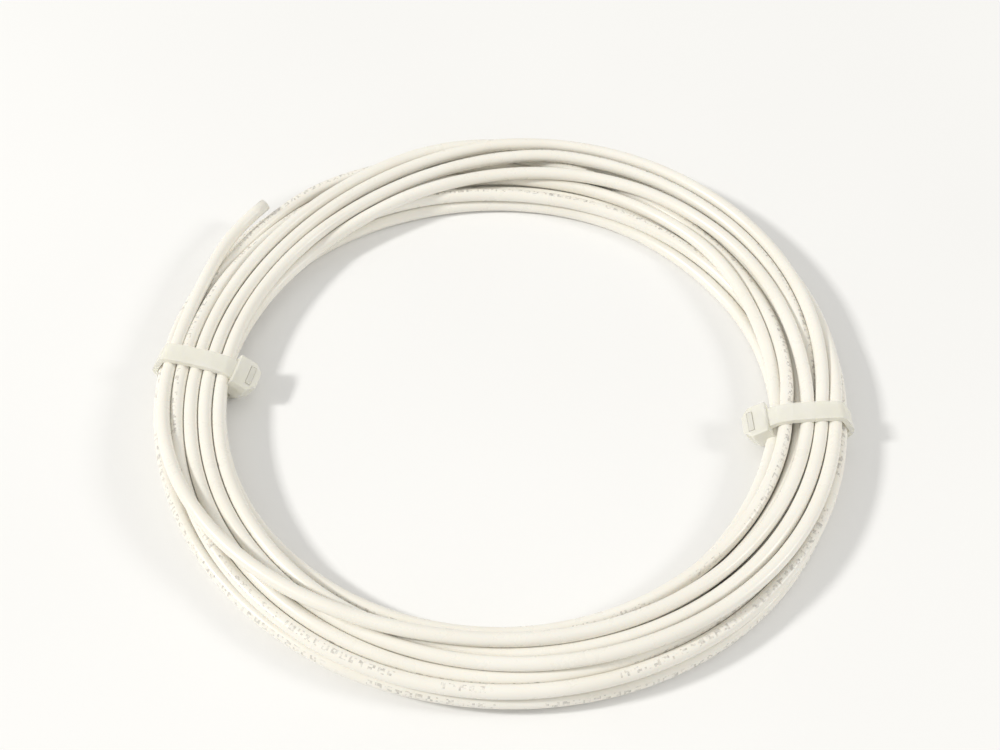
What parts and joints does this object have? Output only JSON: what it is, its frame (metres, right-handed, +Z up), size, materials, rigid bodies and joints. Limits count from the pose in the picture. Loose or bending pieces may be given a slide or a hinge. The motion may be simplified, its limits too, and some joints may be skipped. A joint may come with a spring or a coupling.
{
  "type": "coil of hook-up wire",
  "caption": "Loose ring-shaped coil of white insulated stranded hook-up wire with one bare cut end showing, held by two trimmed nylon cable ties.",
  "frame": {"origin": "middle of the coil's footprint, on the surface that it lies on", "axes": "+Z up through the ring; the two ties are near -X and +X, the free end near 136 degrees round from +X"},
  "size_m": [0.161, 0.1623, 0.0109],
  "materials": {
    "insulation": "semi-gloss white PVC insulation",
    "copper": "bare soft copper strands, cut ends",
    "nylon": "natural nylon, translucent, satin"
  },
  "bodies": {
    "coil": {"wire_coil": "insulation", "wire_free_end": "insulation", "free_end_strands": "copper", "left_tie": "nylon", "right_tie": "nylon"},
    "left_pawl": {"left_tie_pawl": "nylon"},
    "right_pawl": {"right_tie_pawl": "nylon"}
  },
  "joints": [
    {"name": "left_pawl_bend", "type": "hinge", "parent": "coil", "child": "left_pawl", "pos_m": [-0.06105, 0.00383, 0.00487], "axis": [-0.2317, -0.9728, 0], "range_deg": [0, 10], "stiffness_Nm_per_rad": 0.002},
    {"name": "right_pawl_bend", "type": "hinge", "parent": "coil", "child": "right_pawl", "pos_m": [0.06041, -0.01001, 0.00487], "axis": [-0.0471, 0.9989, 0], "range_deg": [0, 10], "stiffness_Nm_per_rad": 0.002}
  ]
}
